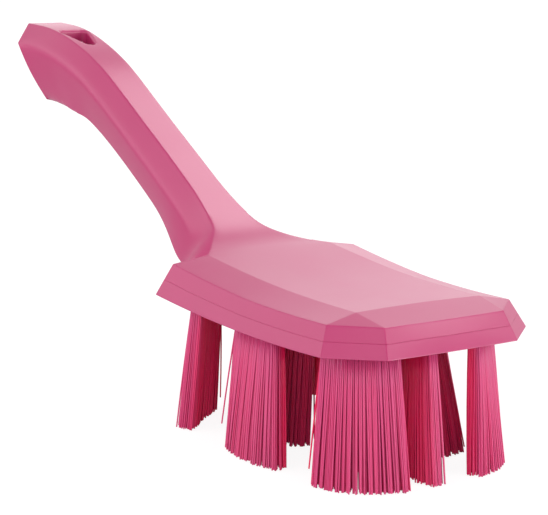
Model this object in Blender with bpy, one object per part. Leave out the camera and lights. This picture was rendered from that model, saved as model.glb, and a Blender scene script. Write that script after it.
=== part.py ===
"""Hand brush: a moulded head on a cranked handle, with fused bristle units in its underside.

Metres, +Z up. +X runs from the handle's end to the nose, +Y is the left of the hand that holds it.
The bristle tips stand on Z = 0, and the length over the bristles is centred on X = 0.
"""
import math
import random

import bmesh
import bpy
from mathutils import Vector

# The whole brush
BODY_LENGTH = 0.260
TIP_OVERHANG = 0.0015
BRISTLE_LENGTH = 0.0455
TOUCH_GAP = 0.0003
CUT_OVERRUN = 0.004

# The head's rim: its widths are taken at the bottom edge, its lengths along X
HEAD_WIDTH_FRONT = 0.0906
HEAD_WIDTH_REAR = 0.0938
NOSE_WIDTH = 0.0568
NOSE_TOP_WIDTH = 0.0520
NOSE_BULGE = 0.0007
NOSE_LIFT = 0.0004
CORNER_LENGTH = 0.0128
SIDE_LENGTH = 0.0890
RIM_HEIGHT_FRONT = 0.0089
RIM_HEIGHT_REAR = 0.0096
RIM_SLOPE_FRONT = 0.0052
RIM_SLOPE_REAR = 0.0062
RIM_CORNER_SETBACK = 0.0041
RIM_REAR_SETBACK = 0.0005
BOW_DEPTH = 0.0020

# The bevels between the rim and the flat top
HEAD_TOP_WIDTH = 0.0545
NOSE_BEVEL = 0.0130
BEVEL_DROP = 0.0024
TOP_CROWN = 0.0006
TOP_BOW_SHARE = 0.7
TOP_REAR_SETBACK = 0.0027

# The flare behind the head's widest corners, down to the neck
NECK_RUN = 0.0232
NECK_CORNER_RUN = 0.0200
NECK_CORNER_WIDTH = 0.0200
FLARE_RING_SHARES = (0.42, 0.62, 0.82)

# The handle: the upper face's line in side view is an arc, a straight, an arc and a short flat end
HANDLE_PITCH = math.radians(29.2)
NECK_RADIUS = 0.040
CROOK_RADIUS = 0.113
END_FLAT = 0.006

# The handle's section: a flat top, an upper side down to a ridge, a lower side and a keeled underside
TOP_WIDTH = 0.0130
TOP_SPREAD = 0.0035
TOP_SPREAD_RUN = 0.028
RIDGE_WIDTH = 0.0246
RIDGE_DEPTH = 0.0073
BASE_WIDTH = 0.0160
BASE_SPREAD = 0.0062
BASE_SPREAD_RUN = 0.030
SPREAD_POWER = 1.5
HANDLE_THICKNESS = 0.0193
NECK_THICKENING = 0.0020
KEEL_WIDTH = 0.0090

# The end of the handle swells into a finger stop and is cut off raking forwards
END_TOP_WIDTH = 0.0160
END_RIDGE_WIDTH = 0.0304
END_RIDGE_DEPTH = 0.0084
END_THICKNESS = 0.0334
END_KEEL = 0.0018
END_RAKE = math.radians(30)
RAKE_RUN = 0.040
SWELL_RUN = 0.085
SWELL_POWER = 1.6

# The hanging hole through the handle's end, widest towards the end
HOLE_END_DISTANCE = 0.0202
HOLE_LENGTH = 0.0158
HOLE_END_WIDTH = 0.0124
HOLE_NECK_WIDTH = 0.0050
HOLE_CORNER = 0.0022

# A bristle unit: strands fused at the root into a block that is moulded into the head
ROOT_WIDTH = 0.0052
TIP_SPREAD = 0.0024
STRAND_WIDTH = 0.00135
STRAND_PITCH = 0.00190
PAD_MARGIN = 0.0007
PAD_THICKNESS = 0.0040
PAD_PROUD = 0.0008
END_ROUNDING = 0.32
END_ROUNDING_POWER = 5
TIP_JITTER = 0.00025
TIP_TRIM = 0.0005
TIP_UNEVENNESS = 0.0022
TIP_UNEVENNESS_POWER = 2

# The units. Each one's root has a length, a place back from the nose, a share of the head's half
# width out from the middle, and a turn from the X axis on the +Y side. Its tips have a length of
# their own, and lean.
NOSE_UNIT = {"length": 0.0190, "back": 0.0203, "out_share": 0.0, "turn": 0.0,
             "tip_length": 0.0250, "lean_forward": 0.0076, "lean_out": -0.0026}
NOSE_CORNER_UNIT = {"length": 0.0254, "back": 0.0161, "out_share": 0.5844, "turn": math.radians(-54),
                    "tip_length": 0.0320, "lean_forward": 0.0064, "lean_out": 0.0012}
FRONT_INNER_UNIT = {"length": 0.0140, "back": 0.0295, "out_share": 0.2764, "turn": math.radians(92),
                    "tip_length": 0.0180, "lean_forward": 0.0055, "lean_out": 0.0062}
SIDE_UNIT = {"length": 0.0225, "back": 0.0585, "out_share": 0.7575, "turn": 0.0,
             "tip_length": 0.0280, "lean_forward": 0.0070, "lean_out": 0.0052}
REAR_INNER_UNIT = {"length": 0.0175, "back": 0.0604, "out_share": 0.4551, "turn": math.radians(-55),
                   "tip_length": 0.0205, "lean_forward": 0.0014, "lean_out": 0.0016}
HEEL_CORNER_UNIT = {"length": 0.0222, "back": 0.0955, "out_share": 0.6499, "turn": math.radians(54),
                    "tip_length": 0.0285, "lean_forward": 0.0010, "lean_out": 0.0014}
HEEL_UNIT = {"length": 0.0200, "back": 0.0980, "out_share": 0.0, "turn": 0.0,
             "tip_length": 0.0224, "lean_forward": -0.0002, "lean_out": 0.0}

# How finely the curved runs are divided, and the angle from which an edge is left crisp
CROOK_STEPS = 6
HANDLE_STEPS = 7
HEAD_STEPS = 6
HOLE_CORNER_STEPS = 3
STRAND_ROWS = 3
CRISP_ANGLE = math.radians(9)

END_X = -(BODY_LENGTH + TIP_OVERHANG) / 2
NOSE_X = END_X + BODY_LENGTH
RIM_BOTTOM = BRISTLE_LENGTH
HEAD_TOP = RIM_BOTTOM + RIM_HEIGHT_REAR + BEVEL_DROP

# Corners of the rim's bottom edge
NOSE_CORNER_X = NOSE_X - NOSE_BULGE
FRONT_X = NOSE_CORNER_X - CORNER_LENGTH
REAR_X = FRONT_X - SIDE_LENGTH


def blend(low, high, share):
    return low + (high - low) * share


def bow(x):
    """How far the head sags at x: nothing at its front and rear corners, most half way."""
    share = (x - REAR_X) / SIDE_LENGTH
    return -BOW_DEPTH * max(0.0, 4 * share * (1 - share))


def top_line(distance):
    """The upper face's X, Z and fall angle, at a distance along it from the handle's end."""
    tangent_x = REAR_X
    neck_x = tangent_x - NECK_RADIUS * math.sin(HANDLE_PITCH)
    neck_z = HEAD_TOP + NECK_RADIUS * (1 - math.cos(HANDLE_PITCH))
    crook_x = END_X + END_FLAT
    bend_x = crook_x + CROOK_RADIUS * math.sin(HANDLE_PITCH)
    straight = (neck_x - bend_x) / math.cos(HANDLE_PITCH)
    bend_z = neck_z + straight * math.sin(HANDLE_PITCH)
    crook_z = bend_z + CROOK_RADIUS * (1 - math.cos(HANDLE_PITCH))
    if distance <= END_FLAT:
        return END_X + distance, crook_z, 0.0
    distance -= END_FLAT
    if distance <= CROOK_RADIUS * HANDLE_PITCH:
        angle = distance / CROOK_RADIUS
        return (crook_x + CROOK_RADIUS * math.sin(angle),
                crook_z - CROOK_RADIUS * (1 - math.cos(angle)), angle)
    distance -= CROOK_RADIUS * HANDLE_PITCH
    if distance <= straight:
        return (bend_x + distance * math.cos(HANDLE_PITCH),
                bend_z - distance * math.sin(HANDLE_PITCH), HANDLE_PITCH)
    angle = max(0.0, HANDLE_PITCH - (distance - straight) / NECK_RADIUS)
    return (tangent_x - NECK_RADIUS * math.sin(angle),
            HEAD_TOP + NECK_RADIUS * (1 - math.cos(angle)), angle)


def head_half_width(x):
    """Half of the head's width at x, at the rim's bottom edge."""
    return blend(HEAD_WIDTH_REAR, HEAD_WIDTH_FRONT, (x - REAR_X) / SIDE_LENGTH) / 2


def distance_at(x):
    """The distance along the upper face at which it reaches x, by halving."""
    low, high = 0.0, 2 * BODY_LENGTH
    for _ in range(60):
        middle = (low + high) / 2
        if top_line(middle)[0] < x:
            low = middle
        else:
            high = middle
    return low


def ring(top, ridge, base, keel, crown=0.0):
    """Nine points round the body, from half-section points (x, half width, z)."""
    left = [Vector(p) for p in (top, ridge, base, keel)]
    right = [Vector((p.x, -p.y, p.z)) for p in reversed(left)]
    return [Vector((top[0], 0.0, top[2] + crown))] + left + right


def handle_ring(distance, neck_distance):
    """One section of the handle, square to its upper face apart from the raked end."""
    x, z, angle = top_line(distance)
    swell = max(0.0, 1 - distance / SWELL_RUN) ** SWELL_POWER
    rake = END_RAKE * max(0.0, 1 - distance / RAKE_RUN)
    to_neck = neck_distance - distance
    top_spread = max(0.0, 1 - to_neck / TOP_SPREAD_RUN) ** SPREAD_POWER
    base_spread = max(0.0, 1 - to_neck / BASE_SPREAD_RUN) ** SPREAD_POWER
    down = Vector((math.sin(rake - angle), 0.0, -math.cos(rake - angle)))
    edge = Vector((x, 0.0, z))

    def point(depth, width):
        place = edge + down * depth
        return place.x, width / 2, place.z

    thickness = blend(HANDLE_THICKNESS, END_THICKNESS, swell) + NECK_THICKENING * base_spread
    return ring(
        point(0.0, blend(TOP_WIDTH, END_TOP_WIDTH, swell) + 2 * TOP_SPREAD * top_spread),
        point(blend(RIDGE_DEPTH, END_RIDGE_DEPTH, swell),
              blend(RIDGE_WIDTH, END_RIDGE_WIDTH, swell)),
        point(thickness, BASE_WIDTH + 2 * BASE_SPREAD * base_spread),
        point(thickness + END_KEEL * swell, KEEL_WIDTH),
    )


def head_ring(share):
    """One section across the head, with share 0 at its rear corners and 1 at its front ones."""
    x = blend(REAR_X, FRONT_X, share)
    base = head_half_width(x)
    slope = blend(RIM_SLOPE_REAR, RIM_SLOPE_FRONT, share)
    rim = RIM_BOTTOM + blend(RIM_HEIGHT_REAR, RIM_HEIGHT_FRONT, share)
    top_shift = blend(TOP_REAR_SETBACK, CORNER_LENGTH - RIM_SLOPE_FRONT - NOSE_BEVEL, share)
    rim_shift = blend(RIM_REAR_SETBACK, -RIM_CORNER_SETBACK, share)
    sag = bow(x)
    return ring(
        (x + top_shift, HEAD_TOP_WIDTH / 2, rim + BEVEL_DROP + sag * TOP_BOW_SHARE),
        (x + rim_shift, base - slope, rim + sag),
        (x, base, RIM_BOTTOM + sag),
        (x, KEEL_WIDTH / 2 + CORNER_LENGTH * share, RIM_BOTTOM + sag),
        crown=TOP_CROWN,
    )


def flare_rings(neck, rear):
    """Sections from the handle's last one to the head's first, which spread the top out at once."""
    run = rear[1].x - neck[1].x
    corner = 1 - NECK_CORNER_RUN / run
    rings = []
    for share in (corner,) + FLARE_RING_SHARES:
        section = [a.lerp(b, share) for a, b in zip(neck, rear)]
        z = top_line(distance_at(section[1].x))[1]
        width = blend(NECK_CORNER_WIDTH / 2, rear[1].y, (share - corner) / (1 - corner))
        rim = rear[2].z + (neck[2].z - rear[2].z) * (1 - share) ** 2
        section[0].z = z + TOP_CROWN * share
        section[1].y, section[8].y = width, -width
        section[1].z = section[8].z = z
        section[2].z = section[7].z = rim
        rings.append(section)
    return rings


def body_rings():
    neck_distance = distance_at(REAR_X - NECK_RUN)
    crook = END_FLAT + CROOK_RADIUS * HANDLE_PITCH
    stops = [0.0]
    stops += [blend(END_FLAT, crook, k / CROOK_STEPS) for k in range(CROOK_STEPS + 1)]
    stops += [blend(crook, neck_distance, (k + 1) / HANDLE_STEPS) for k in range(HANDLE_STEPS)]
    handle = [handle_ring(distance, neck_distance) for distance in stops]
    head = [head_ring(k / HEAD_STEPS) for k in range(HEAD_STEPS + 1)]
    return handle + flare_rings(handle[-1], head[0]) + head


def finish(name, shape):
    """An object from a bmesh, with its faces pointing out and split into triangles."""
    bmesh.ops.recalc_face_normals(shape, faces=shape.faces)
    bmesh.ops.triangulate(shape, faces=shape.faces)
    mesh = bpy.data.meshes.new(name)
    shape.to_mesh(mesh)
    shape.free()
    item = bpy.data.objects.new(name, mesh)
    bpy.context.collection.objects.link(item)
    return item


def solid(name, vertices, faces):
    shape = bmesh.new()
    points = [shape.verts.new(v) for v in vertices]
    for face in faces:
        shape.faces.new([points[i] for i in face])
    return finish(name, shape)


def body_shell():
    """The one-piece moulding: handle, flare and head, as sections joined end to end."""
    rings = body_rings()
    count = len(rings[0])
    vertices = [v for section in rings for v in section]
    faces = [tuple(range(count))]
    for k in range(len(rings) - 1):
        for i in range(count):
            j = (i + 1) % count
            faces.append((k * count + i, k * count + j, (k + 1) * count + j, (k + 1) * count + i))

    # The nose: two corner facets, the bevel and the upright rim between them
    last = (len(rings) - 1) * count
    centre, top, ridge, base, keel, keel_r, base_r, ridge_r, top_r = range(last, last + count)
    half = NOSE_WIDTH / 2
    upper_half = NOSE_TOP_WIDTH / 2
    low = RIM_BOTTOM + NOSE_LIFT
    high = RIM_BOTTOM + RIM_HEIGHT_FRONT + NOSE_LIFT
    nose = [
        (NOSE_CORNER_X - RIM_SLOPE_FRONT, upper_half, high),
        (NOSE_CORNER_X, half, low),
        (NOSE_X, 0.0, low),
        (NOSE_CORNER_X, -half, low),
        (NOSE_CORNER_X - RIM_SLOPE_FRONT, -upper_half, high),
        (NOSE_X - RIM_SLOPE_FRONT, 0.0, high),
    ]
    first = len(vertices)
    vertices += nose
    upper, lower, lower_c, lower_r, upper_r, upper_c = range(first, first + 6)
    faces += [
        (top, ridge, upper), (ridge, base, lower, upper),
        (centre, top, upper, upper_c), (upper, lower, lower_c, upper_c),
        (top_r, ridge_r, upper_r), (ridge_r, base_r, lower_r, upper_r),
        (centre, top_r, upper_r, upper_c), (upper_r, lower_r, lower_c, upper_c),
        (base, keel, lower), (keel, lower_c, lower), (keel, keel_r, lower_c),
        (keel_r, lower_r, lower_c), (keel_r, base_r, lower_r),
    ]
    body = solid("brush_body", vertices, faces)
    body.data.shade_smooth()
    body.data.set_sharp_from_angle(angle=CRISP_ANGLE)
    return body


def hole_cutter():
    """An upright prism with rounded corners, wide at the handle's end and narrow towards the neck."""
    back = END_X + HOLE_END_DISTANCE
    front = back + HOLE_LENGTH
    wide = HOLE_END_WIDTH / 2 - HOLE_CORNER
    narrow = HOLE_NECK_WIDTH / 2 - HOLE_CORNER
    centres = [(back + HOLE_CORNER, -wide, 180), (front - HOLE_CORNER, -narrow, 270),
               (front - HOLE_CORNER, narrow, 0), (back + HOLE_CORNER, wide, 90)]
    outline = []
    for x, y, start in centres:
        for k in range(HOLE_CORNER_STEPS + 1):
            angle = math.radians(start + 90 * k / HOLE_CORNER_STEPS)
            outline.append((x + HOLE_CORNER * math.cos(angle), y + HOLE_CORNER * math.sin(angle)))
    return prism("hanging_hole", outline, RIM_BOTTOM, top_line(0.0)[1] + CUT_OVERRUN)


def prism(name, outline, low, high):
    count = len(outline)
    vertices = [(x, y, low) for x, y in outline] + [(x, y, high) for x, y in outline]
    faces = [tuple(range(count)), tuple(range(count, 2 * count))]
    faces += [(i, (i + 1) % count, count + (i + 1) % count, count + i) for i in range(count)]
    return solid(name, vertices, faces)


def unit_frame(unit, side):
    """A unit's root centre, tip centre and its directions along and across, on side +1 or -1."""
    turn = unit["turn"] * side
    along = Vector((math.cos(turn), math.sin(turn), 0.0))
    across = Vector((-along.y, along.x, 0.0))
    root_x = NOSE_X - unit["back"]
    out = unit["out_share"] * head_half_width(root_x)
    root = Vector((root_x, out * side, RIM_BOTTOM + bow(root_x) - PAD_PROUD))
    tip = root + Vector((unit["lean_forward"], unit["lean_out"] * side, 0.0))
    tip.z = 0.0
    return root, tip, along, across


def end_narrowing(u):
    """How much of its width a unit keeps at u, from -1 to 1 along it: its ends are drawn in."""
    return 1 - END_ROUNDING * abs(u) ** END_ROUNDING_POWER


def patch_point(centre, along, across, half_length, half_width, share):
    """A point of a unit's outline or grid, from its shares (-1 to 1) along and across."""
    u, v = share
    return centre + along * (u * half_length) + across * (v * half_width * end_narrowing(u))


def columns_in(unit):
    return round(unit["length"] / STRAND_PITCH)


def edge_steps(columns):
    """The grid places (column, row) round a unit's edge, in order."""
    rows = STRAND_ROWS
    steps = [(i, 0) for i in range(columns + 1)] + [(columns, j) for j in range(1, rows)]
    steps += [(i, rows) for i in range(columns, -1, -1)] + [(0, j) for j in range(rows - 1, 0, -1)]
    return steps


def grid_share(columns, i, j):
    return 2 * i / columns - 1, 2 * j / STRAND_ROWS - 1


def block_outline(unit, side, margin):
    """The outline of a unit's root block, or of its pocket, at a margin round the strands."""
    root, _, along, across = unit_frame(unit, side)
    columns = columns_in(unit)
    sizes = unit["length"] / 2 + margin, ROOT_WIDTH / 2 + margin
    return [patch_point(root, along, across, *sizes, grid_share(columns, i, j))
            for i, j in edge_steps(columns)]


def bristle_unit(name, unit, side, seed):
    """One unit: its root block, and strands that fan out from it to tips trimmed level."""
    shake = random.Random(seed)
    root, tip, along, across = unit_frame(unit, side)
    columns = columns_in(unit)
    root_sizes = unit["length"] / 2, ROOT_WIDTH / 2
    tip_sizes = unit["tip_length"] / 2, (ROOT_WIDTH + TIP_SPREAD) / 2
    inner = STRAND_WIDTH / 2
    shape = bmesh.new()

    # The block's underside, as a grid with one cell for each strand
    grid = {(i, j): shape.verts.new(patch_point(root, along, across, *root_sizes, grid_share(columns, i, j)))
            for i in range(columns + 1) for j in range(STRAND_ROWS + 1)}

    for i in range(columns):
        for j in range(STRAND_ROWS):
            share = grid_share(columns, i + 0.5, j + 0.5)
            foot = patch_point(root, along, across, *root_sizes, share)
            head = patch_point(tip, along, across, *tip_sizes, share)
            head += along * shake.uniform(-TIP_JITTER, TIP_JITTER)
            head += across * shake.uniform(-TIP_JITTER, TIP_JITTER)
            head.z = max(0.0, shake.random() ** TIP_UNEVENNESS_POWER * TIP_UNEVENNESS - TIP_TRIM)
            half = inner * end_narrowing(share[0])
            corners = [(-inner, -half), (inner, -half), (inner, half), (-inner, half)]
            low = [shape.verts.new(foot + along * a + across * b) for a, b in corners]
            high = [shape.verts.new(head + along * a + across * b) for a, b in corners]
            cell = [grid[i, j], grid[i + 1, j], grid[i + 1, j + 1], grid[i, j + 1]]
            for k in range(4):
                m = (k + 1) % 4
                shape.faces.new((cell[k], cell[m], low[m], low[k]))
                shape.faces.new((low[k], low[m], high[m], high[k]))
            shape.faces.new(high)

    # The root block: a margin round the grid, upright sides and a flat top inside the head
    edge = [grid[step] for step in edge_steps(columns)]
    rise = Vector((0.0, 0.0, PAD_THICKNESS + PAD_PROUD))
    outline = block_outline(unit, side, PAD_MARGIN)
    skirt = [shape.verts.new(place) for place in outline]
    lid = [shape.verts.new(place + rise) for place in outline]
    for k in range(len(edge)):
        m = (k + 1) % len(edge)
        shape.faces.new((edge[k], edge[m], skirt[m], skirt[k]))
        shape.faces.new((skirt[k], skirt[m], lid[m], lid[k]))
    shape.faces.new(lid)
    return finish(name, shape)


def pocket_cutter(name, unit, side):
    """The pocket that holds a unit's root block, with a gap all round it."""
    root_z = unit_frame(unit, side)[0].z
    outline = [(place.x, place.y) for place in block_outline(unit, side, PAD_MARGIN + TOUCH_GAP)]
    return prism(name, outline, root_z - CUT_OVERRUN, root_z + PAD_PROUD + PAD_THICKNESS + TOUCH_GAP)


def plastic(name, colour, roughness):
    material = bpy.data.materials.new(name)
    material.use_nodes = True
    shader = material.node_tree.nodes["Principled BSDF"]
    shader.inputs["Base Color"].default_value = colour
    shader.inputs["Roughness"].default_value = roughness
    shader.inputs["Metallic"].default_value = 0.0
    return material


def clear_scene():
    for item in list(bpy.data.objects):
        bpy.data.objects.remove(item, do_unlink=True)


def cut(body, cutter):
    cutter.hide_render = True
    cutter.display_type = "WIRE"
    boolean = body.modifiers.new(cutter.name, "BOOLEAN")
    boolean.operation = "DIFFERENCE"
    boolean.solver = "EXACT"
    boolean.object = cutter


def build():
    clear_scene()
    body = body_shell()
    body.data.materials.append(plastic("satin_pink_polypropylene", (0.60, 0.13, 0.27, 1.0), 0.38))
    cut(body, hole_cutter())

    bristle = plastic("pink_polyester_bristle", (0.62, 0.10, 0.25, 1.0), 0.45)
    pairs = {"nose_corner": NOSE_CORNER_UNIT, "front_inner": FRONT_INNER_UNIT, "side": SIDE_UNIT,
             "rear_inner": REAR_INNER_UNIT, "heel_corner": HEEL_CORNER_UNIT}
    units = [("nose_bristle_unit", NOSE_UNIT, 1), ("heel_bristle_unit", HEEL_UNIT, 1)]
    for word, unit in pairs.items():
        units.append((word + "_bristle_unit_left", unit, 1))
        units.append((word + "_bristle_unit_right", unit, -1))
    for seed, (name, unit, side) in enumerate(units):
        bristle_unit(name, unit, side, seed).data.materials.append(bristle)
        cut(body, pocket_cutter(name.replace("bristle_unit", "pocket"), unit, side))


build()
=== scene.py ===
"""The hand brush, dressed: a satin pink moulding and its fused bristle units, in one body."""
import math
import random
from collections import namedtuple

import bmesh
import bpy
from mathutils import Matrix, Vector


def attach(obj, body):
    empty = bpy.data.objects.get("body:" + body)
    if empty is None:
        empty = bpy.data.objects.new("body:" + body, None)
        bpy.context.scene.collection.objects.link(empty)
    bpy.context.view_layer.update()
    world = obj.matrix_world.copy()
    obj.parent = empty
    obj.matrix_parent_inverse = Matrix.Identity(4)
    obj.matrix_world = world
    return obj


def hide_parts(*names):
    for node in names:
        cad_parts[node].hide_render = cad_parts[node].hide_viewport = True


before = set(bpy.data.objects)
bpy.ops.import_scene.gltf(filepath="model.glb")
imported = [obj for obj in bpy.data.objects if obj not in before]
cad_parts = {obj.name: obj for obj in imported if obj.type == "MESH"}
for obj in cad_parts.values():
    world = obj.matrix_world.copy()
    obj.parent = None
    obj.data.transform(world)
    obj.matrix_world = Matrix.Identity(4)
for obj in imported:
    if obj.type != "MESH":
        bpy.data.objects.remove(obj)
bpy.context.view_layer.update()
bpy.ops.object.select_all(action="DESELECT")


# The camera stands in front of the brush, to the right of its nose and a little above the head.
# It is far off, on a long lens, and turned by a few degrees, as the photograph's is.
CAMERA_PLACE = (0.575814, -0.430355, 0.214591)
CAMERA_TURN = (77.0382, -3.5144, 52.4613)
CAMERA_LENS = 129.8

bpy.ops.object.camera_add(location=CAMERA_PLACE,
                          rotation=[math.radians(a) for a in CAMERA_TURN])
camera = bpy.context.object
camera.name = "photo_camera"
camera.data.lens = CAMERA_LENS
bpy.context.scene.camera = camera


# The brush body is one injection moulding in satin pink polypropylene: a cranked handle with
# facets along it, a flare behind the neck, and a flat head with bevelled edges.
# It is drawn up section by section from the handle's end, then its edges are eased.
MM = 0.001

# Each section in millimetres: the top edge, the ridge and the bottom edge as (x, half width, z),
# then how far the lower side bulges and how far the underside hangs in the middle.
GRIP_SECTIONS = [
    ((-131.4, 8.0, 119.7), (-127.0, 15.5, 112.3), (-114.6, 8.2, 90.3), 1.5, 1.0),
    ((-120.8, 7.8, 120.0), (-117.8, 14.7, 112.1), (-109.0, 8.0, 90.0), 1.2, 1.0),
    ((-112.8, 7.7, 119.6), (-111.3, 14.3, 111.3), (-104.8, 8.1, 89.9), 0.9, 1.0),
    ((-104.8, 7.4, 118.3), (-104.8, 13.9, 110.2), (-101.4, 8.2, 89.9), 0.6, 0.9),
    ((-97.0, 7.2, 116.4), (-98.3, 13.6, 108.8), (-98.6, 8.3, 89.7), 0.5, 0.8),
    ((-89.4, 7.0, 114.2), (-91.8, 13.3, 106.9), (-95.6, 8.4, 89.1), 0.4, 0.6),
    ((-81.8, 6.9, 111.4), (-84.7, 13.0, 104.4), (-90.9, 8.4, 88.5), 0.3, 0.5),
    ((-74.6, 6.8, 108.2), (-77.9, 12.8, 101.4), (-84.6, 8.3, 88.1), 0.3, 0.4),
    ((-65.8, 6.7, 103.5), (-69.4, 12.5, 96.9), (-76.2, 8.3, 85.0), 0.3, 0.3),
    ((-55.3, 6.6, 97.6), (-58.9, 12.3, 91.1), (-65.2, 8.3, 79.9), 0.3, 0.3),
    ((-42.2, 6.6, 90.3), (-45.8, 12.3, 83.8), (-52.0, 8.3, 72.8), 0.3, 0.3),
    ((-29.1, 6.7, 83.2), (-32.7, 12.3, 76.5), (-38.9, 8.4, 65.4), 0.3, 0.3),
    ((-20.4, 6.8, 78.3), (-23.9, 12.3, 71.6), (-30.2, 8.7, 60.5), 0.3, 0.3),
    ((-12.0, 6.9, 73.6), (-15.6, 12.3, 67.0), (-22.3, 10.1, 55.6), 0.3, 0.2),
    ((-5.2, 7.5, 69.8), (-8.7, 12.5, 63.2), (-15.4, 12.0, 51.1), 0.2, 0.1),
    ((2.2, 8.7, 65.7), (-1.4, 12.9, 59.0), (-8.4, 13.9, 46.8), 0.1, 0.0),
]
FLARE_SECTIONS = [
    ((8.9, 10.5, 62.4), (5.0, 13.6, 56.2), (0.2, 15.8, 45.7), 0.0, 0.0),
    ((14.4, 14.8, 60.3), (11.4, 18.6, 54.8), (8.4, 24.6, 45.6), -0.3, 0.0),
    ((19.6, 19.3, 59.0), (16.4, 24.8, 53.6), (14.6, 32.4, 45.5), -0.4, 0.0),
    ((24.8, 23.7, 58.3), (21.4, 31.6, 53.2), (20.8, 39.9, 45.4), -0.3, 0.0),
]
HEAD_SECTIONS = [
    ((29.4, 27.5, 58.1), (27.1, 41.1, 55.7), (26.2, 47.3, 44.9), 0.0, 0.0),
    ((42.9, 27.5, 57.1), (41.2, 40.9, 54.4), (41.5, 46.8, 43.9), 0.0, 0.0),
    ((56.4, 27.4, 56.3), (55.4, 40.7, 53.5), (56.4, 46.5, 43.4), 0.0, 0.0),
    ((69.9, 27.2, 55.8), (69.4, 40.5, 52.8), (71.2, 46.2, 43.2), 0.0, 0.0),
    ((83.4, 27.2, 55.9), (83.5, 40.4, 53.0), (86.1, 45.9, 43.4), 0.0, 0.0),
    ((96.9, 27.2, 56.2), (97.6, 40.3, 53.5), (100.9, 45.7, 44.1), 0.0, 0.0),
    ((110.4, 27.2, 56.9), (111.6, 40.3, 54.5), (115.9, 45.5, 45.2), 0.0, 0.0),
]
NOSE_SECTION = ((123.5, 26.1, 54.9), (123.5, 26.1, 54.9), (128.9, 28.6, 45.5), 0.0, 0.0)
NOSE_BULGE = 0.7
TOP_CROWN = 0.6

# A section has ten corners. On its left side, counted from the middle of the top, these are:
CORNERS = 10
TOP, RIDGE, FLANK, BASE = 1, 2, 3, 4

# How closely corners are merged while a piece is laid up, in millimetres, and the place in
# metres that its corners and faces are sorted by. That lies off to one side of all symmetry.
MERGE_WITHIN = 0.02
SORTED_FROM = (0.31, 0.17, 0.43)


def section_corners(section, crown=0.0, bulge=0.0):
    """A section's corners: from the middle of the top down its left side and up its right."""
    top, ridge, base, belly, hang = section
    flank = [(a + b) / 2 for a, b in zip(ridge, base)]
    flank[1] += belly
    left = [top, ridge, flank, base]
    right = [(x, -y, z) for x, y, z in reversed(left)]
    above = (top[0] + bulge, 0, top[2] + crown)
    below = (base[0] + bulge, 0, base[2] - hang)
    return [Vector(p) * MM for p in [above] + left + [below] + right]


def loft(name, rings):
    """A closed piece: a polygon laid out as the first ring, extruded and moved to each next."""
    bpy.ops.object.select_all(action="DESELECT")
    bpy.ops.mesh.primitive_circle_add(vertices=len(rings[0]), radius=10 * MM, fill_type="NGON",
                                      location=(0, 0, 0))
    piece = bpy.context.object
    piece.name = name
    for corner, place in zip(piece.data.vertices, rings[0]):
        corner.co = place
    bpy.ops.object.mode_set(mode="EDIT")
    bpy.ops.mesh.select_mode(type="FACE")
    for last, ring in zip(rings, rings[1:]):
        bpy.ops.mesh.extrude_region_move()
        shape = bmesh.from_edit_mesh(piece.data)
        for corner in [v for v in shape.verts if v.select]:
            nearest = min(range(len(last)), key=lambda i: (last[i] - corner.co).length)
            corner.co = ring[nearest]
        bmesh.update_edit_mesh(piece.data)
    bpy.ops.mesh.select_all(action="SELECT")
    bpy.ops.mesh.remove_doubles(threshold=MERGE_WITHIN * MM)
    bpy.ops.mesh.normals_make_consistent(inside=False)
    bpy.context.scene.cursor.location = SORTED_FROM
    bpy.ops.mesh.sort_elements(type="CURSOR_DISTANCE", elements={"VERT", "FACE"})
    bpy.ops.object.mode_set(mode="OBJECT")

    # The mesh is laid up once more from its sorted corners and faces, so that its edges also
    # come in the same order in every run, and all that is cut from it is the same
    places = [corner.co.copy() for corner in piece.data.vertices]
    faces = [tuple(face.vertices) for face in piece.data.polygons]
    piece.data.clear_geometry()
    piece.data.from_pydata(places, [], faces)
    return piece


def apply_modifier(piece, kind, **settings):
    """Adds a modifier to a piece, sets it and applies it."""
    bpy.ops.object.select_all(action="DESELECT")
    bpy.context.view_layer.objects.active = piece
    piece.select_set(True)
    bpy.ops.object.modifier_add(type=kind)
    modifier = piece.modifiers[-1]
    for setting, value in settings.items():
        setattr(modifier, setting, value)
    bpy.ops.object.modifier_apply(modifier=modifier.name)


body_rings = [section_corners(s) for s in GRIP_SECTIONS]
neck_ring = len(body_rings) - 1
for step, section in enumerate(FLARE_SECTIONS, start=1):
    body_rings.append(section_corners(section, TOP_CROWN * step / (len(FLARE_SECTIONS) + 1)))
rear_ring = len(body_rings)
body_rings += [section_corners(s, TOP_CROWN) for s in HEAD_SECTIONS]
front_ring = len(body_rings) - 1
body_rings.append(section_corners(NOSE_SECTION, bulge=NOSE_BULGE))
nose_ring = len(body_rings) - 1
body = loft("moulded_body", body_rings)

# How wide the edges are rounded, in millimetres: round the head's top and rim, along the top
# of the grip, along the bottom of the grip, along the bottom of the head, and at the handle's end
HEAD_EDGE = 0.45
GRIP_EDGE = 0.55
LOWER_GRIP_EDGE = 0.6
LOWER_HEAD_EDGE = 0.7
END_EDGE = 0.6

# How crisp the softer edges are, from 0 to 1: the flare's top edges, the ridge in the middle of
# the grip and how much softer it gets towards both ends, and the bottom edges at the handle's
# end and how fast they get crisper from there. The first few of those stay unrounded.
FLARE_CRISPNESS = 0.55
RIDGE_CRISPNESS, RIDGE_FADE = 0.42, 0.08
LOWER_CRISPNESS, LOWER_GAIN = 0.3, 0.02
UNROUNDED_RINGS = 4


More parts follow.
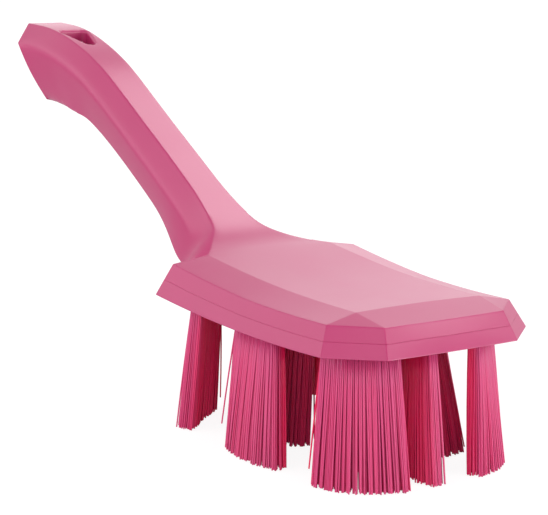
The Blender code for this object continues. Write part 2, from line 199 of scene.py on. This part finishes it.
def edge_along(ring, column):
    """How crisp the edge from a ring's corner to the next ring's is, and its rounding."""
    if column == TOP:
        flare = neck_ring <= ring < rear_ring - 1
        return (FLARE_CRISPNESS if flare else 1.0), (GRIP_EDGE if ring < neck_ring else HEAD_EDGE)
    if column == RIDGE and ring >= rear_ring:
        return 1.0, HEAD_EDGE
    if column == RIDGE and ring < neck_ring:
        return RIDGE_CRISPNESS - RIDGE_FADE * abs(2 * (ring / neck_ring) - 1) ** 3, 0.0
    if column == BASE and ring >= neck_ring:
        return 1.0, LOWER_HEAD_EDGE
    if column == BASE:
        crispness = min(1.0, LOWER_CRISPNESS + LOWER_GAIN * ring ** 2)
        return crispness, (0.0 if ring < UNROUNDED_RINGS else LOWER_GRIP_EDGE)
    return 0.0, 0.0


def edge_across(ring, column):
    """How crisp the edge from a ring's corner to its next corner down is, and its rounding."""
    if ring == 0:
        return 1.0, END_EDGE
    if ring == rear_ring and column in (TOP, RIDGE, FLANK):
        return 1.0, HEAD_EDGE
    if ring == front_ring and column != BASE:
        return 1.0, HEAD_EDGE
    return (1.0, HEAD_EDGE) if ring == nose_ring else (0.0, 0.0)


def corner_key(place):
    """A place to the nearest tenth of a millimetre, to look a corner up by."""
    return tuple(round(v / MM, 1) for v in place)


# The merged mesh's corners are looked up again, as the rings and columns that they came from
corners = {}
for ring, places in enumerate(body_rings):
    for column, place in enumerate(places):
        corners.setdefault(corner_key(place), []).append((ring, column))
crease = body.data.attributes.new("crease_edge", "FLOAT", "EDGE").data
rounding = body.data.attributes.new("bevel_weight_edge", "FLOAT", "EDGE").data
for edge in body.data.edges:
    start, end = [corners[corner_key(body.data.vertices[i].co)] for i in edge.vertices]
    best = (0.0, 0.0)
    for ring_a, a in start:
        for ring_b, b in end:
            if a == b and ring_a != ring_b:
                best = max(best, edge_along(min(ring_a, ring_b), min(a, CORNERS - a)))
            if a != b and ring_a == ring_b:
                best = max(best, edge_across(ring_a, min(a, b, CORNERS - a, CORNERS - b)))
    crease[edge.index].value, rounding[edge.index].value = best
pin = body.data.attributes.new("crease_vert", "FLOAT", "POINT").data
for corner in body.data.vertices:
    for ring, column in corners[corner_key(corner.co)]:
        if ring == 0 and min(column, CORNERS - column) in (TOP, RIDGE, BASE):
            pin[corner.index].value = 1.0
apply_modifier(body, "SUBSURF", levels=3, render_levels=3)
apply_modifier(body, "BEVEL", limit_method="WEIGHT", width=MM, segments=3)

# The hanging hole goes straight down through the handle's end. It is cut last, and the cutter
# widens at both mouths, so that the hole's rim comes out rounded.
HOLE_OUTLINE = ((-108.3, -4.0), (-97.0, -0.3), (-97.0, 0.3), (-108.3, 4.0))
HOLE_CORNER = 2.2
HOLE_RIM = 1.1
HOLE_RIM_ANGLES = (90, 67, 45, 22, 0)
HOLE_OVERSHOOT = 3.0
HOLE_CORNER_STEPS = 6
WELL_OUTSIDE = 200


def hole_outline(reach):
    """Round the hole's outline, with corners of a radius of reach, in millimetres."""
    outline = []
    for (x, y), start in zip(HOLE_OUTLINE, (180, 270, 0, 90)):
        for k in range(HOLE_CORNER_STEPS + 1):
            angle = math.radians(start + 90 // HOLE_CORNER_STEPS * k)
            outline.append((x + reach * math.cos(angle), y + reach * math.sin(angle)))
    return outline


def mouth(reach, depth, inward):
    """One ring of the cutter, at a depth in from the handle's top (-1) or underside (1)."""
    ring = []
    for x, y in hole_outline(reach):
        outside = Vector((x, y, -inward * WELL_OUTSIDE)) * MM
        _, place, _, _ = body.ray_cast(outside, Vector((0, 0, inward)))
        ring.append(place + Vector((0, 0, inward * depth * MM)))
    return ring


steps = [(HOLE_CORNER + HOLE_RIM, -HOLE_OVERSHOOT)]
for angle in HOLE_RIM_ANGLES:
    flat, sunk = 1 - math.cos(math.radians(angle)), 1 - math.sin(math.radians(angle))
    steps.append((HOLE_CORNER + HOLE_RIM * flat, HOLE_RIM * sunk))
hole_rings = [mouth(reach, depth, -1) for reach, depth in steps]
hole_rings += [mouth(reach, depth, 1) for reach, depth in reversed(steps)]
hole_cutter = loft("hanging_hole_cutter", hole_rings)

# The parting line is a fine groove round the head's rim, where the halves of the mould met.
# The groove is found from a core inside the head, and runs out past the rim's two ends.
PARTING_GROOVE = 0.13
PARTING_OVERCUT = 1.5
PARTING_STEP = 0.6
PARTING_RUN_OUT = 3
HEAD_CORE = (40, 95)
BEYOND_RIM = 8


def parting_path():
    """Stations round the rim at its mid height, on the finished surface: (place, outward)."""
    head_rings = body_rings[rear_ring:]
    line = [r[FLANK] for r in head_rings] + [r[CORNERS - FLANK] for r in reversed(head_rings)]
    stations = []
    for start, end in zip(line, line[1:]):
        count = max(1, round((end - start).length / (PARTING_STEP * MM)))
        for k in range(count):
            guess = start.lerp(end, (k + 0.5) / count)
            core_x = min(max(guess.x, HEAD_CORE[0] * MM), HEAD_CORE[1] * MM)
            outward = (guess - Vector((core_x, 0, guess.z))).normalized()
            _, place, normal, _ = body.ray_cast(guess + outward * BEYOND_RIM * MM, -outward)
            stations.append((place, Vector((normal.x, normal.y, 0)).normalized()))
    for at, by in ((0, 1), (-1, -2)):
        run = (stations[at][0] - stations[by][0]).normalized() * PARTING_RUN_OUT * MM
        beyond = (stations[at][0] + run, stations[at][1])
        stations.insert(0 if at == 0 else len(stations), beyond)
    return stations


groove_rings = []
for place, outward in parting_path():
    across = (outward * PARTING_OVERCUT, Vector((0, 0, 1)), -outward, Vector((0, 0, -1)))
    groove_rings.append([place + a * PARTING_GROOVE * MM for a in across])
groove_cutter = loft("parting_line_cutter", groove_rings)

for cutter in (hole_cutter, groove_cutter):
    apply_modifier(body, "BOOLEAN", operation="DIFFERENCE", solver="EXACT", object=cutter)
    bpy.data.objects.remove(cutter)

# The cuts leave slivers along their edges. Their many-sided faces are split, and the slivers
# are closed and merged away.
SLIVER = 0.004
CRISP_FROM = 40
FLAT_FACES_FIRST = 60

bpy.ops.object.mode_set(mode="EDIT")
bpy.ops.mesh.select_mode(type="FACE")
bpy.ops.mesh.select_all(action="DESELECT")
bpy.ops.mesh.select_face_by_sides(number=4, type="GREATER")
bpy.ops.mesh.quads_convert_to_tris(ngon_method="BEAUTY")
bpy.ops.mesh.select_all(action="SELECT")
bpy.ops.mesh.remove_doubles(threshold=SLIVER * MM)
bpy.ops.mesh.fill_holes(sides=4)
bpy.ops.mesh.dissolve_degenerate(threshold=SLIVER * MM)
bpy.ops.object.mode_set(mode="OBJECT")
bpy.ops.object.shade_smooth_by_angle(angle=math.radians(CRISP_FROM))
apply_modifier(body, "WEIGHTED_NORMAL", keep_sharp=True, weight=FLAT_FACES_FIRST)
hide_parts("brush_body")
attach(body, "root")


class Shade:
    """An output in a material's nodes. Sums and products, also with numbers, add Math nodes."""

    def __init__(self, tree, socket=None):
        self.tree, self.socket = tree, socket

    def node(self, kind, settings=None, sockets=None, output=0):
        """Adds a node to the same tree: its settings first, then its sockets' values or links."""
        made = self.tree.nodes.new(kind)
        for name, value in (settings or {}).items():
            setattr(made, name, value)
        for name, value in (sockets or {}).items():
            if isinstance(value, Shade):
                self.tree.links.new(value.socket, made.inputs[name])
            else:
                made.inputs[name].default_value = value
        return Shade(self.tree, made.outputs[output]) if made.outputs else None

    def math(self, operation, first, second):
        return self.node("ShaderNodeMath", {"operation": operation}, {0: first, 1: second})

    def __add__(self, other):
        return self.math("ADD", self, other)

    def __radd__(self, other):
        return self.math("ADD", other, self)

    def __sub__(self, other):
        return self.math("SUBTRACT", self, other)

    def __rsub__(self, other):
        return self.math("SUBTRACT", other, self)

    def __mul__(self, other):
        return self.math("MULTIPLY", self, other)

    def __rmul__(self, other):
        return self.math("MULTIPLY", other, self)


def new_material(name):
    """An empty material, and the start of its nodes."""
    material = bpy.data.materials.new(name)
    material.use_nodes = True
    material.node_tree.nodes.clear()
    return material, Shade(material.node_tree)


# A Mix node's sockets for its factor and its two colours, and its colour output
FACTOR, COLOUR_A, COLOUR_B, COLOUR_OUT = 0, 6, 7, 2

# The moulding's pink, cloudy by a shade, and the grain and sheen of its satin surface
MOULDED_DEEP = (0.470, 0.026, 0.135, 1)
MOULDED_PALE = (0.505, 0.036, 0.157, 1)
CLOUD_SCALE = 45.0
GRAIN_SCALE = 2400.0
GRAIN_DEPTH = 0.0001
SATIN_ROUGHNESS = 0.30

moulding, start = new_material("satin_pink_polypropylene")
place = start.node("ShaderNodeTexCoord", output="Object")
flow = start.node("ShaderNodeTexNoise", None,
                  {"Vector": place, "Scale": CLOUD_SCALE, "Detail": 3.0})
grain = start.node("ShaderNodeTexNoise", None,
                   {"Vector": place, "Scale": GRAIN_SCALE, "Detail": 2.0})
tint = start.node("ShaderNodeMix", {"data_type": "RGBA"},
                  {FACTOR: flow, COLOUR_A: MOULDED_DEEP, COLOUR_B: MOULDED_PALE}, COLOUR_OUT)
bump = start.node("ShaderNodeBump", None,
                  {"Strength": 0.05, "Distance": GRAIN_DEPTH, "Height": grain})
satin = start.node("ShaderNodeBsdfPrincipled", None,
                   {"Base Color": tint, "Roughness": SATIN_ROUGHNESS + flow * 0.07,
                    "IOR": 1.5, "Normal": bump})
start.node("ShaderNodeOutputMaterial", None, {"Surface": satin})
body.data.materials.append(moulding)


# The bristle units: pink polyester filaments, fused together at the root into a hard block.
# Each block is moulded into the head's underside. The filaments fan out, part into small
# clumps towards their tips, and are trimmed level.

# Each unit in millimetres: its root's length and its centre, its turn from the X axis in
# degrees, its tips' length, how far they lean forwards and outwards, how far their outer row
# bows out, the way that its side with painted light faces (forwards, outwards), and its stray one
Unit = namedtuple("Unit", "length centre turn tip_length lean bow facing stray")

# A unit's stray filament: the end and the side that it leaves, how far along and across the
# unit, and how much shorter it is
Stray = namedtuple("Stray", "end side along across shorter")

UNITS = {
    "nose": Unit(19.0, (108.95, 0.0), 0, 26.0, (8.4, -3.4), 0.9, (0.9, 0.45),
                 Stray(1, 1, 1.8, 0.6, 0.6)),
    "nose_corner": Unit(25.4, (113.15, 26.5), -54, 32.4, (6.8, 1.5), 2.2, (0.75, 0.65),
                        Stray(-1, -1, -1.3, 0.0, 4.5)),
    "front_inner": Unit(14.0, (99.75, 12.6), 92, 20.0, (5.7, 7.0), 0.4, (0.0, 0.0),
                        Stray(1, 1, 0.0, 0.3, 1.5)),
    "side": Unit(22.5, (70.75, 34.93), 0, 29.0, (7.8, 5.7), 1.5, (0.0, 1.0),
                 Stray(-1, 1, -2.2, 0.2, 7.5)),
    "rear_inner": Unit(17.5, (68.85, 21.0), -55, 20.5, (1.4, 1.6), 0.3, (0.0, 0.0),
                       Stray(1, -1, 2.2, 0.0, 1.0)),
    "heel_corner": Unit(22.2, (33.75, 30.4), 54, 29.0, (0.8, 1.9), 0.6, (0.0, 1.0),
                        Stray(-1, -1, -1.2, -1.0, 4.0)),
    "heel": Unit(20.0, (31.25, 0.0), 0, 22.4, (-0.2, 0.0), 0.3, (-1.0, 0.0),
                 Stray(-1, -1, -0.8, 0.5, 2.5)),
}
ROOT_WIDTH = 5.2
TIP_WIDTH = 7.6

# The filaments: their radius at the root and at the tip, how far apart they stand, how far
# each is off its place as a share of that, and how much the unit's ends are rounded
ROOT_REACH = 0.33
TIP_REACH = 0.26
SPACING = 0.56
OFF_PLACE = 0.18
END_ROUNDING = 0.32

# The clumps: how wide they are, how many rows of them, how strongly they draw their filaments
# in along the unit (a range), what share of that across it, and how late down the filaments
CLUMP = 1.8
CLUMP_ROWS = 4
CLUMP_PULL = (0.5, 0.72)
PULL_ACROSS = 0.4
PULL_DELAY = 1.2

# The tips in millimetres: how far they scatter, the height of the cut, how much higher a whole
# clump may sit, how much higher single ones do, and the most that they may
TIP_SCATTER = 0.16
CUT_HEIGHT = 0.02
CLUMP_RISE = 0.4
TIP_RISE = 0.24
MOST_RISE = 1.4

# How much the filaments bend, at random and outwards, and where a stray one starts (as shares)
BEND = 0.03
OUTWARD_BEND = 0.25
STRAY_START = (0.97, 0.8)

# Painted light on the filaments: how far round the unit the lit side reaches, how much light is
# painted on at the tip and how much more at the root, and how much clumps and single filaments
# differ in tone at random
LIT_REACH = 0.35
PAINTED_LIGHT_TIP, PAINTED_LIGHT_ROOT = 0.65, 0.3
CLUMP_TONE, OWN_TONE = 0.12, 0.08

# The head's underside in millimetres: where it starts, how long it is, its height at the
# corners and how far it bows down between them
UNDERSIDE_START = 26.75
UNDERSIDE_LENGTH = 89.0
UNDERSIDE_HEIGHT = 45.5
UNDERSIDE_BOW = 2.0
HEAD_MIDDLE = 60


def underside(x):
    """How high the head's underside is at x, where it bows down between its corners."""
    share = (x - UNDERSIDE_START) / UNDERSIDE_LENGTH
    return UNDERSIDE_HEIGHT - UNDERSIDE_BOW * max(0.0, 4 * share * (1 - share))


# One filament, as a five-sided rod a millimetre long and a millimetre in radius, for copying
bpy.ops.mesh.primitive_cylinder_add(vertices=5, radius=1.0, depth=1.0, end_fill_type="NGON",
                                    location=(0, 0, 0))
filament = bpy.context.object
bpy.ops.object.mode_set(mode="EDIT")
for height in (0.25, 0.0, -0.25):
    bpy.ops.mesh.select_all(action="SELECT")
    bpy.ops.mesh.bisect(plane_co=(0, 0, height), plane_no=(0, 0, 1))
bpy.ops.object.mode_set(mode="OBJECT")
rod = [(v.co.x, v.co.y, 0.5 - v.co.z) for v in filament.data.vertices]
rod_faces = [tuple(p.vertices) for p in filament.data.polygons]
bpy.data.objects.remove(filament)

# The root block in millimetres: how far it stands out past the filaments, and its edge's
# profile from the top down as (height over the underside, inset)
BLOCK_MARGIN = 0.45
BLOCK_PROFILE = ((0.4, 0.0), (-0.45, 0.0), (-0.65, 0.08), (-0.76, 0.22), (-0.8, 0.4))
BLOCK_CORNERS = 36
BLOCK_SQUARENESS = 0.35
BLOCK_TONE = 0.5
ROOT_DEPTH = 0.3


def squared(share):
    """A share of the way out to a block's side, pushed out towards its squarish corners."""
    return math.copysign(abs(share) ** BLOCK_SQUARENESS, share)


def root_block(name, unit, side, along, across):
    """The fused block at a unit's root, a low pad with rounded ends and a rounded lower edge."""
    middle = Vector((unit.centre[0], unit.centre[1] * side, 0))
    rings = []
    for drop, inset in BLOCK_PROFILE:
        ring = []
        for k in range(BLOCK_CORNERS):
            angle = math.radians(360 // BLOCK_CORNERS * k)
            u = squared(math.cos(angle)) * (unit.length / 2 + BLOCK_MARGIN - inset)
            v = squared(math.sin(angle)) * (ROOT_WIDTH / 2 + BLOCK_MARGIN - inset)
            foot = middle + along * u + across * v
            ring.append(Vector((foot.x, foot.y, underside(foot.x) + drop)) * MM)
        rings.append(ring)
    block = loft(name + "_block", rings)
    tones = block.data.attributes.new("tone", "FLOAT", "POINT").data
    tones.foreach_set("value", [BLOCK_TONE] * len(block.data.vertices))
    return block


def bristle_unit(name, unit, side, seed):
    """One unit: its filaments in clumps that part towards the tips, and its root block."""
    shake = random.Random(seed)
    angle = math.radians(unit.turn * side)
    along = Vector((math.cos(angle), math.sin(angle), 0.0))
    across = Vector((-along.y, along.x, 0.0))
    x, y = unit.centre
    away = Vector((x - HEAD_MIDDLE, y * side * 1.6, 0))
    outer = 1 if across.dot(away) > 0 else -1
    root = Vector((x, y * side, underside(x) - ROOT_DEPTH))
    tip = root + Vector((unit.lean[0], unit.lean[1] * side, 0.0))
    facing = Vector((unit.facing[0], unit.facing[1] * side, 0))

    # Every clump's place across the unit, from -1 to 1 both ways, and its manner:
    # how deep its tone is, how strongly it draws in, and how high it sits
    cells = round(unit.tip_length / CLUMP)
    clumps = [((2 * (i + shake.uniform(0.1, 0.9)) + 0.7 * (j % 2)) / cells - 1,
               2 * (j + shake.uniform(0.2, 0.8)) / CLUMP_ROWS - 1)
              for i in range(cells) for j in range(CLUMP_ROWS)]
    manner = [(shake.random(), shake.uniform(*CLUMP_PULL), shake.random() ** 2) for _ in clumps]

    # Every filament's place, set out the same way
    columns, rows = round(unit.length / SPACING), round(ROOT_WIDTH / SPACING)
    strands = []
    for i in range(columns):
        for j in range(rows):
            u = (2 * i + 1 + 0.5 * (j % 2 - 0.5)) / columns - 1
            u += shake.uniform(-OFF_PLACE, OFF_PLACE) / columns
            v = (2 * j + 1) / rows - 1 + shake.uniform(-OFF_PLACE, OFF_PLACE) / rows
            strands.append((max(-1.0, min(1.0, u)), v, None))
    stray = unit.stray
    strands.append((stray.end * STRAY_START[0], stray.side * outer * STRAY_START[1], stray))

    vertices, faces, painted_light_and_tone = [], [], []
    for u, v, astray in strands:
        near = min(range(len(clumps)),
                   key=lambda c: ((clumps[c][0] - u) * unit.tip_length) ** 2
                   + ((clumps[c][1] - v) * TIP_WIDTH) ** 2)
        tone, pull, lift = manner[near]
        narrow = 1 - END_ROUNDING * abs(u) ** 5
        edge = max(abs(u) ** 3, abs(v))
        foot = root + along * (u * unit.length / 2) + across * (v * narrow * ROOT_WIDTH / 2)
        head = tip + along * (u * unit.tip_length / 2) + across * (v * narrow * TIP_WIDTH / 2)
        head += across * outer * unit.bow * (1 - 1.8 * u * u)
        head += along * shake.gauss(0, TIP_SCATTER) + across * shake.gauss(0, TIP_SCATTER)
        head.z = CUT_HEIGHT + CLUMP_RISE * lift + min(MOST_RISE, abs(shake.gauss(0, TIP_RISE)))
        gather = (along * ((clumps[near][0] - u) * unit.tip_length / 2)
                  + across * (PULL_ACROSS * (clumps[near][1] - v) * TIP_WIDTH / 2))
        gather = gather * pull * (0.25 + 0.75 * edge)
        if astray:
            head += (along * astray.along + across * outer * astray.across
                     + Vector((0, 0, astray.shorter)))
            gather = Vector()
        swell = along * shake.gauss(0, BEND) + across * (shake.gauss(0, BEND) + v * OUTWARD_BEND)
        spin = shake.uniform(0, 6.28)
        cos, sin = math.cos(spin), math.sin(spin)
        first = len(vertices)
        for x, y, t in rod:
            middle = foot.lerp(head, t) + swell * (4 * t * (1 - t)) + gather * t ** PULL_DELAY
            reach = ROOT_REACH + (TIP_REACH - ROOT_REACH) * t
            turned = Vector((x * cos - y * sin, x * sin + y * cos, 0))
            vertices.append((middle + turned * reach) * MM)
        faces += [tuple(first + k for k in face) for face in rod_faces]
        # Filaments on the unit's lit side get painted light, more at the root; the others get
        # painted shade. Clumps and single filaments also differ in tone at random.
        out = (along * u ** 5 + across * v).dot(facing)
        painted_light = max(0.0, min(1.0, out + LIT_REACH))
        own = CLUMP_TONE * tone + OWN_TONE * shake.random()
        painted_light_and_tone += [own + painted_light * (PAINTED_LIGHT_TIP + PAINTED_LIGHT_ROOT * max(0.0, 1 - 3 * t)) for _, _, t in rod]
    mesh = bpy.data.meshes.new(name)
    mesh.from_pydata(vertices, [], faces)
    mesh.attributes.new("tone", "FLOAT", "POINT").data.foreach_set("value", painted_light_and_tone)
    unit_piece = bpy.data.objects.new(name, mesh)
    bpy.context.collection.objects.link(unit_piece)

    # The block comes out of loft selected, and is joined to the filaments
    root_block(name, unit, side, along, across)
    unit_piece.select_set(True)
    bpy.context.view_layer.objects.active = unit_piece
    bpy.ops.object.join()
    bpy.ops.object.shade_smooth_by_angle(angle=math.radians(80))
    return unit_piece


# The filaments' colours, painted shade for their shaded side and painted light for their lit
# side, and their sheen, a bit streaky
SHADED_CRIMSON = (0.86, 0.001, 0.105, 1)
LIT_PINK = (0.66, 0.072, 0.235, 1)
STREAK_SCALE = 160.0
FILAMENT_ROUGHNESS = 0.34

polyester, start = new_material("pink_polyester_filament")
place = start.node("ShaderNodeTexCoord", output="Object")
# The tone attribute mixes the painted shade and the painted light colours, and carries a little
# random tone.
tone = start.node("ShaderNodeAttribute", {"attribute_name": "tone"}, output="Fac")
streak = start.node("ShaderNodeTexNoise", None,
                    {"Vector": place, "Scale": STREAK_SCALE, "Detail": 2.0})
tint = start.node("ShaderNodeMix", {"data_type": "RGBA"},
                  {FACTOR: tone, COLOUR_A: SHADED_CRIMSON, COLOUR_B: LIT_PINK}, COLOUR_OUT)
gloss = start.node("ShaderNodeBsdfPrincipled", None,
                   {"Base Color": tint, "Roughness": FILAMENT_ROUGHNESS + streak * 0.12,
                    "IOR": 1.5})
start.node("ShaderNodeOutputMaterial", None, {"Surface": gloss})
for seed, (word, unit) in enumerate(UNITS.items()):
    sides = {"": 1} if unit.centre[1] == 0 else {"_left": 1, "_right": -1}
    for ending, side in sides.items():
        piece = bristle_unit(word + "_bristles" + ending, unit, side, seed * 2 + (side > 0))
        piece.data.materials.append(polyester)
        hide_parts(word + "_bristle_unit" + ending)
        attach(piece, "root")


# The studio: a white sweep, even light from all round, a large soft lamp above and behind the
# brush that gives the tops their sheen, and others round it. The background is white to the
# camera and in reflections, and the floor nearly so.
AMBIENT = 0.42
BRUSH_MIDDLE = (0.03, 0, 0.06)
FLOOR_SIZE = 8.0
FLOOR_WHITE = (0.78, 0.78, 0.78, 1)
FLOOR_GLOW = 1.2
GLOW_TO_CAMERA = 0.75
GLOW_IN_GLOSS = 0.1


def ray_kinds(start):
    """Whether a ray comes from the camera, and whether it is seen in gloss or through glass."""
    ray = start.node("ShaderNodeLightPath", output="Is Camera Ray")
    seen = start.node("ShaderNodeLightPath", output="Is Glossy Ray")
    through = start.node("ShaderNodeLightPath", output="Is Transmission Ray")
    return ray, seen, through


world = bpy.data.worlds.new("white_studio")
bpy.context.scene.world = world
world.use_nodes = True
world.node_tree.nodes.clear()
sky = Shade(world.node_tree)
ray, seen, through = ray_kinds(sky)
white = sky.node("ShaderNodeBackground", None,
                 {"Color": (1, 1, 1, 1),
                  "Strength": AMBIENT + (1 - AMBIENT) * (ray + seen + through)})
sky.node("ShaderNodeOutputWorld", None, {"Surface": white})


def soft_lamp(name, towards, distance, size, power):
    """A square lamp that faces the brush, in a direction from it, in metres and watts."""
    towards = Vector(towards).normalized()
    bpy.ops.object.light_add(type="AREA", location=Vector(BRUSH_MIDDLE) + towards * distance,
                             rotation=towards.to_track_quat("Z", "Y").to_euler())
    lamp = bpy.context.object
    lamp.name = name
    lamp.data.size = size
    lamp.data.energy = power


soft_lamp("back_top_lamp", (-0.23, 0.6, 0.765), 1.5, 0.6, 6.6)
soft_lamp("rear_left_lamp", (-0.78, 0.58, 0.24), 1.8, 1.1, 3.0)
soft_lamp("right_lamp", (-0.3, -0.85, 0.24), 1.6, 1.6, 14.0)
soft_lamp("rear_right_lamp", (-0.77, -0.47, 0.5), 1.6, 0.7, 1.7)
soft_lamp("front_left_lamp", (0.8, 0.55, 0.2), 1.6, 0.9, 14.0)
soft_lamp("front_right_lamp", (0.64, -0.73, 0.2), 1.8, 1.2, 7.6)
soft_lamp("front_top_lamp", (0.56, -0.47, 0.66), 1.6, 0.5, 1.8)

bpy.ops.mesh.primitive_plane_add(size=FLOOR_SIZE, location=(0, 0, 0))
floor = bpy.context.object
floor.name = "floor"
sweep, start = new_material("white_sweep")
ray, seen, through = ray_kinds(start)
matt = start.node("ShaderNodeBsdfDiffuse", None, {"Color": FLOOR_WHITE})
glow = start.node("ShaderNodeEmission", None, {"Color": (1, 1, 1, 1), "Strength": FLOOR_GLOW})
both = start.node("ShaderNodeMixShader", None,
                  {0: ray * GLOW_TO_CAMERA + (seen + through) * GLOW_IN_GLOSS,
                   1: matt, 2: glow})
start.node("ShaderNodeOutputMaterial", None, {"Surface": both})
floor.data.materials.append(sweep)

bpy.context.scene.view_settings.view_transform = "Standard"
